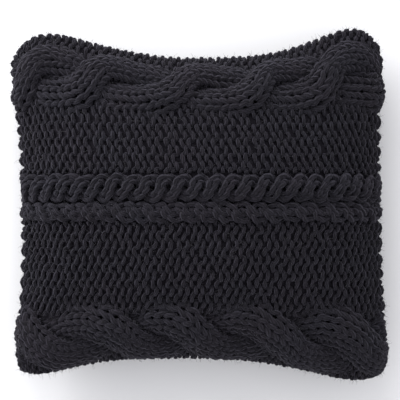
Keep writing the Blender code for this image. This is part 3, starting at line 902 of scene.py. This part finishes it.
class PILLOW_OT_insert(Operator):
    """Blow up the insert with its filling, and keep its push for the cover over it."""
    bl_idname = "pillow.insert"
    bl_label = "Insert"

    def execute(self, context):
        cushion = context.scene.pillow_cushion
        SWELL.clear()
        rows, columns = 73, 65
        threads, roughness = 1100, 0.85
        rim_fade, fade_power = 1.6, 1.5
        front = Side(cushion, True, CASING_FRONT, CASING_INSET)
        back = Side(cushion, False, CASING_BACK, CASING_INSET)
        start, faces = closed_pillow(front, back, rows, columns)
        look = cloth_look("White casing", tuple(context.scene.pillow_colours.casing), threads, roughness)
        piece, push = filled(cushion, start, faces, look)
        count = rows * columns
        u, v = angle_grid(rows, columns)
        fade = (np.minimum(1, rim_fade * profile(u, v)) ** fade_power)[..., None]
        field = push[:count].reshape(rows, columns, 3)
        size = np.linalg.norm(field, axis=-1, keepdims=True)
        cap = cushion.swell_most
        field = field * (cap * np.tanh(size / cap) / np.maximum(size, 1e-9)) * fade
        SWELL["front"] = field
        kept = np.linalg.norm(field, axis=-1)
        print("insert pushed out by up to", float(size.max()), "kept", float(kept.max()))
        start[:count] += field.reshape(-1, 3)
        piece.data.vertices.foreach_set("co", start.astype(np.float32).ravel())
        piece.data.update()
        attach(piece, COVER)
        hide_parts("insert_casing_front", "insert_casing_back", "fibre_fill")
        return {"FINISHED"}


class PILLOW_OT_linings(Operator):
    """Cut and sew the dark linings, one in front and two behind."""
    bl_idname = "pillow.linings"
    bl_label = "Linings"

    def execute(self, context):
        cushion = context.scene.pillow_cushion
        zipper = context.scene.pillow_zip
        look = cloth_look("Dark lining", tuple(context.scene.pillow_colours.lining), 1500, 0.8)
        front = Side(cushion, True, LINING_FRONT, LINING_INSET)
        back = Side(cushion, False, LINING_BACK, LINING_INSET)
        heights = back.middle[:, 1]
        slit_low = float(np.interp(zipper.line - zipper.slit, heights, back.shares))
        slit_high = float(np.interp(zipper.line + zipper.slit, heights, back.shares))
        rows = 73
        panels = (("lining_front", front, -1.0, 1.0, 65, (0.455, 0.395)),
                  ("lining_back_upper", back, slit_high, 1.0, 41, (0.440, 0.245)),
                  ("lining_back_lower", back, -1.0, slit_low, 25, (0.440, 0.130)))
        for node, side, low, high, columns, flat in panels:
            vertices, faces = cloth_panel(side, LINING_THICK, low, high, rows, columns)
            piece = new_piece(node + "_cloth", look, vertices, faces.ravel(), np.full(len(faces), 4))
            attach(piece, COVER)
            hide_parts(node)
        return {"FINISHED"}


def knitted(name, look, paths, guides, radius, sides, *nodes):
    """A piece of yarn that rides with the cover."""
    piece = new_piece(name, look, *yarn_tubes(paths, guides, radius, sides))
    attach(piece, COVER)
    if nodes:
        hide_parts(*nodes)
    return piece


class PILLOW_OT_front(Operator):
    """Knit the front: two purl grounds, a rope cable along each edge and the small ropes between."""
    bl_idname = "pillow.front"
    bl_label = "Knitted front"

    def execute(self, context):
        knit = context.scene.pillow_knit
        look = yarn_look(context.scene.pillow_colours)
        cushion = context.scene.pillow_cushion
        side = Side(cushion, True, cushion.knit_middle)
        rim = side.reach()[1]
        rise, base = 1.4 * knit.radius, 0.0008
        grounds = (("front_purl_upper", *UPPER_GROUND, 11, -0.0008, ("front_knit_panel",)),
                   ("front_purl_lower", *LOWER_GROUND, 21, 0.0003, ()),
                   ("front_edge_top", TOP_EDGE, rim - RIM_GAP, 31, 0.0, ()),
                   ("front_edge_bottom", RIM_GAP - rim, BOTTOM_EDGE, 41, 0.0, ()))
        for name, low, high, seed, lean, nodes in grounds:
            band = purl_band(side, low, high, knit, seed, knit.radius, rise, base, lean)
            knitted(name, look, *band, knit.sides, *nodes)
        self.back_with_felt(context)
        for name, band in self.cables(side, knit).items():
            knitted(name, look, *band, knit.sides)
        return {"FINISHED"}

    def back_with_felt(self, context):
        """Felt the inner face of the front."""
        cushion = context.scene.pillow_cushion
        rows = 97
        backing = Side(cushion, True, cushion.knit_middle + BACKING_UNDER, cushion.knit_middle)
        vertices, faces = cloth_panel(backing, BACKING_THICK, -1.0, 1.0, rows, rows)
        look = backing_look(context.scene.pillow_colours)
        piece = new_piece("front_backing", look, vertices, faces.ravel(), np.full(len(faces), 4))
        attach(piece, COVER)

    def cables(self, side, knit):
        """The two large cables, which lean opposite ways, the small rope and the twist under it."""
        half = side.reach()[0]
        upper = np.interp(UPPER_CROSSINGS, side.shares, side.along_x)
        lower = np.interp(LOWER_CROSSINGS, side.shares, side.along_x)
        small = np.arange(-half, half, knit.rope_pitch)
        wale, swing, lift = knit.cable_wale, knit.cable_swing, knit.cable_lift
        tight = dict(wales=1, steep=0.9, fan=0.0, reach=0.8, ends=0.005)
        return {
            "front_cable_upper": cable_band(side, knit.upper_cable, upper, 51, wale, swing, lift),
            "front_cable_lower": cable_band(side, knit.lower_cable, lower, 61, 0.95 * wale, 1.15 * swing,
                                            1.15 * lift, slant=-1.0, wales=4, steep=0.8, sink=1.1),
            "front_rope": cable_band(side, knit.rope_middle, small, 71, 0.0120, 0.0098, 0.0050,
                                     base=0.0042, edge=0.0024, course=0.0088, radius=0.0031,
                                     splay=0.14, **tight),
            "front_twist": cable_band(side, knit.twist_middle, small + 0.4 * knit.rope_pitch, 81,
                                      0.0118, 0.0056, 0.0036, slant=-1.0, base=0.0036, edge=0.0016,
                                      course=0.0084, splay=0.17, **tight),
        }


class PILLOW_OT_fuzz(Operator):
    """Raise loose fibres from the yarn."""
    bl_idname = "pillow.fuzz"
    bl_label = "Fuzz"

    def execute(self, context):
        knit = context.scene.pillow_knit
        cushion = context.scene.pillow_cushion
        look = fibre_look(context.scene.pillow_colours)
        roots, ways = [], []
        for made in [held for held in bpy.data.objects if held.name.startswith(("front_", "seam_"))]:
            if "Charcoal yarn" not in made.data.materials:
                continue
            count = len(made.data.vertices)
            place = np.empty(count * 3, dtype=np.float32)
            way = np.empty(count * 3, dtype=np.float32)
            made.data.vertices.foreach_get("co", place)
            made.data.vertices.foreach_get("normal", way)
            roots.append(place.reshape(-1, 3))
            ways.append(way.reshape(-1, 3))
        roots, ways = np.concatenate(roots), np.concatenate(ways)
        outward = unit(roots * np.array([1.0, 1.0, 0.0])) + np.array([0, 0, 1.0])
        facing, rim_depth = 0.45, 0.022
        shortest, longest, most_curl = 0.0030, 0.0080, 1.2
        rise, bow, taper = 0.60, 0.6, 0.75
        shown = (ways * outward).sum(axis=1) > facing
        rim = shown & (np.abs(roots[:, 2] - cushion.seam_level) < rim_depth)
        coats = (("loose_fibres", shown, 5), ("short_fibres", shown, 7), ("downy_fibres", shown, 8),
                 ("rim_fibres", rim, 6))
        for name, where, seed in coats:
            draw = np.random.default_rng(seed)
            chosen = draw.choice(np.flatnonzero(where), knit.fibres, replace=False)
            root, way = roots[chosen].astype(float), ways[chosen].astype(float)
            aside = unit(np.cross(way, draw.normal(size=way.shape)))
            reach = draw.uniform(shortest, longest, (len(root), 1, 1))
            step = np.linspace(0, 1, 4)[None, :, None]
            curl = draw.uniform(-most_curl, most_curl, (len(root), 1, 1))
            lift = rise * np.sin(step * draw.uniform(1.2, 2.6, (len(root), 1, 1)))
            bend = np.cross(way, aside)[:, None] * curl * step ** 2
            paths = root[:, None] + reach * (way[:, None] * lift + aside[:, None] * step + bend * bow)
            thick = knit.fibre_radius * (1 - taper * step[..., 0]) * np.ones((len(root), 1))
            guides = np.broadcast_to(way[:, None], paths.shape)
            piece = new_piece(name, look, *yarn_tubes(paths, guides, thick, 3))
            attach(piece, COVER)
        return {"FINISHED"}


class PILLOW_OT_back(Operator):
    """Knit the plain back in two parts, and lace them together beyond the ends of the zip."""
    bl_idname = "pillow.back"
    bl_label = "Knitted back"

    def execute(self, context):
        knit = context.scene.pillow_knit
        zipper = context.scene.pillow_zip
        cushion = context.scene.pillow_cushion
        look = yarn_look(context.scene.pillow_colours)
        side = Side(cushion, False, cushion.knit_middle)
        half, rim = side.reach()
        low = side.t_over(zipper.line - zipper.slit) - knit.back_radius
        high = side.t_over(zipper.line + zipper.slit) + knit.back_radius
        rise, base, samples, sides = 0.0016, -0.0001, 14, 7
        bands = (("back_purl_upper", high, rim - RIM_GAP, 101, "back_knit_upper"),
                 ("back_purl_lower", RIM_GAP - rim, low, 111, "back_knit_lower"))
        for name, start, stop, seed, node in bands:
            band = purl_band(side, start, stop, knit, seed, knit.back_radius, rise, base, samples=samples)
            knitted(name, look, *band, sides, node)
        middle = (low + high) / 2
        end = zipper.length / 2 + 0.002
        pitch, half_width = 0.7 * knit.course, 0.0088
        depth, sway = 0.0028, 0.0004
        for name, sign, node in (("back_lacing_left", -1, "back_join_left"),
                                 ("back_lacing_right", 1, "back_join_right")):
            turns = int(round((half - end) / pitch))
            phase = np.linspace(0, TWO_PI * turns, turns * 16 + 1)
            s = sign * (end + (half - RIM_GAP - end) * phase / phase[-1])[None]
            t = (middle + half_width * np.cos(phase))[None]
            paths, guides = side.lay(s, t, sway * np.sin(phase)[None] - depth)
            knitted(name, look, paths, guides, 0.9 * knit.back_radius, sides, node)
        return {"FINISHED"}


class PILLOW_OT_seam(Operator):
    """Whip the front and the back together round the rim."""
    bl_idname = "pillow.seam"
    bl_label = "Seam"

    def execute(self, context):
        knit = context.scene.pillow_knit
        cushion = context.scene.pillow_cushion
        look = yarn_look(context.scene.pillow_colours)
        side = Side(cushion, True, cushion.knit_middle)
        turns, steps = 168, 16
        loop_radius, yarn_radius = 0.0028, 0.0021
        points, out = along_outline(side, turns * steps + 1, -0.0008)
        phase = np.linspace(0, TWO_PI * turns, len(points))
        loop = loop_radius * (np.cos(phase)[:, None] * out + np.sin(phase)[:, None] * np.array([0, 0, 1.0]))
        paths = (points + loop)[None]
        paths[0, -1] = paths[0, 0]
        knitted("seam_whipping", look, paths, unit(loop)[None], yarn_radius, knit.sides, "seam_yarn")
        thread = thread_look("Black thread", tuple(context.scene.pillow_colours.thread))
        stitches, steps = 421, 6
        waver, thread_radius, thread_sides = 0.0009, 0.00035, 5
        for name, inset, node in (("lining_stitching", 0.0088, "lining_seam_thread"),
                                  ("insert_stitching", 0.0126, "insert_seam_thread")):
            rim = Side(cushion, True, inset, inset)
            points, out = along_outline(rim, stitches * steps + 1, 0.0)
            wave = np.sin(np.linspace(0, TWO_PI * stitches, len(points)))
            path = points + waver * wave[:, None] * np.array([0, 0, 1.0])
            path[-1] = path[0]
            tube = yarn_tubes(path[None], out[None], thread_radius, thread_sides)
            piece = new_piece(name, thread, *tube)
            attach(piece, COVER)
            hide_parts(node)
        return {"FINISHED"}


class PILLOW_OT_zip(Operator):
    """Wind the zip's coils, and finish its tapes, stops, slider, tab and the threads."""
    bl_idname = "pillow.zip"
    bl_label = "Zip"

    def execute(self, context):
        zipper = context.scene.pillow_zip
        colours = context.scene.pillow_colours
        nylon = nylon_look("Nylon coil", tuple(colours.coil))
        turns = int(zipper.length / zipper.tooth_pitch)
        steps, wire_sides = 10, 5
        apart, coil_radius, level, wire_radius = 0.00165, 0.00087, 0.00685, 0.00028
        phase = np.linspace(0, TWO_PI * turns, turns * steps + 1)
        for name, sign, node in (("zip_teeth_upper", 1, "zip_coil_upper"),
                                 ("zip_teeth_lower", -1, "zip_coil_lower")):
            x = np.linspace(-zipper.length / 2, zipper.length / 2, len(phase))
            y = zipper.line + sign * (apart + coil_radius * np.cos(phase))
            z = level + coil_radius * np.sin(phase)
            path = np.stack([x, y, z], axis=-1)[None]
            guide = np.stack([0 * x, np.cos(phase), np.sin(phase)], axis=-1)[None]
            piece = new_piece(name, nylon, *yarn_tubes(path, guide, wire_radius, wire_sides))
            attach(piece, COVER)
            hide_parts(node)
        thread = thread_look("Black thread", tuple(colours.thread))
        tape = cloth_look("Zip tape", tuple(colours.tape), 2600, 0.75)
        metal = metal_look("Zip metal", tuple(colours.metal))
        finishes = {"zip_stitch_upper": thread, "zip_stitch_lower": thread,
                    "zip_tape_upper": tape, "zip_tape_lower": tape,
                    "zip_top_stop_upper": metal, "zip_top_stop_lower": metal, "zip_bottom_stop": metal,
                    "zip_slider_body": metal, "zip_pull_tab": metal}
        for node, finish in finishes.items():
            for held in frame["nodes"][node].material_slots:
                held.material = finish
        return {"FINISHED"}


class PILLOW_PT_sidebar(Panel):
    """Everything that makes the pillow, in order."""
    bl_label = "Cable-knit pillow"
    bl_idname = "PILLOW_PT_sidebar"
    bl_space_type = "VIEW_3D"
    bl_region_type = "UI"
    bl_category = "Pillow"

    def draw(self, context):
        for operator in OPERATORS:
            self.layout.operator(operator.bl_idname)


OPERATORS = (PILLOW_OT_stage, PILLOW_OT_insert, PILLOW_OT_linings, PILLOW_OT_front, PILLOW_OT_back,
             PILLOW_OT_seam, PILLOW_OT_fuzz, PILLOW_OT_zip)


def register():
    for group in PROPERTY_GROUPS.values():
        bpy.utils.register_class(group)
    for operator in (*OPERATORS, PILLOW_PT_sidebar):
        bpy.utils.register_class(operator)
    for name, group in PROPERTY_GROUPS.items():
        setattr(bpy.types.Scene, name, PointerProperty(type=group))


def unregister():
    for name in PROPERTY_GROUPS:
        delattr(bpy.types.Scene, name)
    for owned in (PILLOW_PT_sidebar, *OPERATORS[::-1], *PROPERTY_GROUPS.values()):
        bpy.utils.unregister_class(owned)


def main():
    register()
    for operator in OPERATORS:
        family, name = operator.bl_idname.split(".")
        getattr(getattr(bpy.ops, family), name)()


if __name__ == "__main__":
    main()
